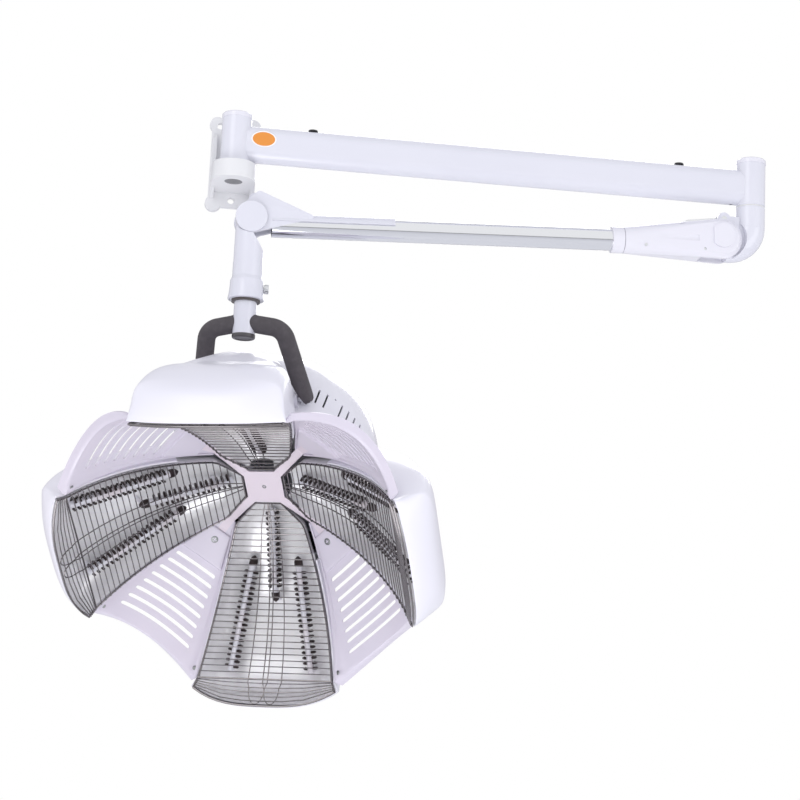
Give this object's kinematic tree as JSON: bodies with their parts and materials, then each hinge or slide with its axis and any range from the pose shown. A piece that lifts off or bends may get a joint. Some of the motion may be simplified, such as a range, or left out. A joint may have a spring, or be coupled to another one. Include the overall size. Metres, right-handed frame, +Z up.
{
  "type": "hood hair dryer",
  "caption": "Wall-hung hood hair dryer: folding two-part arm, swivel stem with foam-gripped handle, and a tilting hood of heated petals around a domed rear housing.",
  "frame": {"origin": "middle of the wall bracket's back face, on the wall plane", "axes": "+Z up, +Y into the wall, +X along the upper arm from the wall pivot to the elbow"},
  "size_m": [0.9629, 0.4878, 0.7949],
  "materials": {
    "bracket_paint": "satin white powder coat",
    "arm_paint": "gloss white enamel",
    "dark_steel": "turned steel, lightly oiled",
    "bright_steel": "zinc plated",
    "tube_chrome": "polished chrome plate",
    "white_moulding": "glossy white moulding with a cool tint",
    "lilac_moulding": "satin pale lilac moulding",
    "bush_plastic": "natural acetal",
    "dark_plastic": "dark grey moulding",
    "grip_foam": "closed-cell foam, dark grey",
    "mirror_sheet": "polished reflector sheet",
    "grille_wire": "plated wire",
    "heater_coil": "oxidised resistance coil on a ceramic core",
    "panel_plastic": "pale grey moulding",
    "key_film": "blank membrane film",
    "rocker_black": "black rocker",
    "board_green": "printed circuit board"
  },
  "bodies": {
    "wall": {"wall_bracket": "bracket_paint", "pivot_post": "dark_steel"},
    "upper_arm": {"upper_arm_tube": "arm_paint", "inner_barrel": "arm_paint", "outer_barrel": "arm_paint", "barrel_caps": "white_moulding", "arm_bushes": "bush_plastic", "cable_grommets": "dark_plastic"},
    "elbow": {"elbow_casting": "arm_paint", "elbow_post": "dark_steel", "elbow_pins": "bright_steel"},
    "levelling_link": {"level_link": "bright_steel"},
    "lower_arm": {"chrome_tube": "tube_chrome", "housing_front": "white_moulding", "housing_rear": "white_moulding", "tube_collar": "white_moulding", "pivot_caps": "white_moulding", "balance_spring": "dark_steel", "spring_seats": "dark_steel", "saddle": "arm_paint", "housing_screws": "bright_steel"},
    "head": {"head_column": "arm_paint", "head_pins": "bright_steel", "column_bush": "bush_plastic"},
    "thumb_screw": {"thumb_screw": "bright_steel"},
    "handle": {"stem": "arm_paint", "stem_plug": "dark_plastic", "handle_tube": "bright_steel", "grip_left": "grip_foam", "grip_right": "grip_foam"},
    "hood": {"rear_dome": "white_moulding", "hub_frame": "white_moulding", "centre_plate": "lilac_moulding", "tilt_bolts": "bright_steel", "hood_screws": "bright_steel", "cover_top": "white_moulding", "cover_right": "white_moulding", "cover_bottom": "white_moulding", "cover_left": "white_moulding", "reflector_top": "mirror_sheet", "reflector_right": "mirror_sheet", "reflector_bottom": "mirror_sheet", "reflector_left": "mirror_sheet", "grille_top": "grille_wire", "grille_right": "grille_wire", "grille_bottom": "grille_wire", "grille_left": "grille_wire", "heater_top": "heater_coil", "heater_right": "heater_coil", "heater_bottom": "heater_coil", "heater_left": "heater_coil", "gusset_top_right": "lilac_moulding", "gusset_bottom_right": "lilac_moulding", "gusset_bottom_left": "lilac_moulding", "gusset_top_left": "lilac_moulding", "control_panel": "panel_plastic", "keypad": "key_film", "circuit_board": "board_green"},
    "power_rocker": {"power_rocker": "rocker_black"}
  },
  "joints": [
    {"name": "arm1_swing", "type": "hinge", "parent": "wall", "child": "upper_arm", "pos_m": [0, -0.062, 0.013], "axis": [0, 0, 1], "range_deg": [-180, 3]},
    {"name": "elbow_swing", "type": "hinge", "parent": "upper_arm", "child": "elbow", "pos_m": [0.715, -0.062, 0.013], "axis": [0, 0, 1], "range_deg": [-2, 170]},
    {"name": "arm2_lift", "type": "hinge", "parent": "elbow", "child": "lower_arm", "pos_m": [0.671, -0.062, -0.062], "axis": [0, 1, 0], "range_deg": [-35, 1]},
    {"name": "link_swing", "type": "hinge", "parent": "elbow", "child": "levelling_link", "pos_m": [0.675, -0.062, -0.036], "axis": [0, 1, 0], "range_deg": [-35, 1]},
    {"name": "head_level", "type": "hinge", "parent": "lower_arm", "child": "head", "pos_m": [0.02666, -0.062, -0.09126], "axis": [0, 1, 0], "range_deg": [-1, 35]},
    {"name": "thumb_screw_turn", "type": "hinge", "parent": "head", "child": "thumb_screw", "pos_m": [0.04866, -0.062, -0.18526], "axis": [1, 0, 0], "range_deg": [-180, 180]},
    {"name": "stem_swivel", "type": "hinge", "parent": "head", "child": "handle", "pos_m": [0.02666, -0.062, -0.20226], "axis": [0, 0, 1], "range_deg": [-170, 170]},
    {"name": "hood_tilt", "type": "hinge", "parent": "handle", "child": "hood", "pos_m": [0.04682, -0.00664, -0.32229], "axis": [0.9397, -0.342, 0], "range_deg": [-14, 40]},
    {"name": "rocker_press", "type": "hinge", "parent": "hood", "child": "power_rocker", "pos_m": [0.11385, 0.17754, -0.26168], "axis": [0.9397, -0.342, 0], "range_deg": [-6, 6]}
  ],
  "couplings": [
    {"joint": "link_swing", "follows": "arm2_lift", "ratio": 1},
    {"joint": "head_level", "follows": "arm2_lift", "ratio": -1}
  ]
}
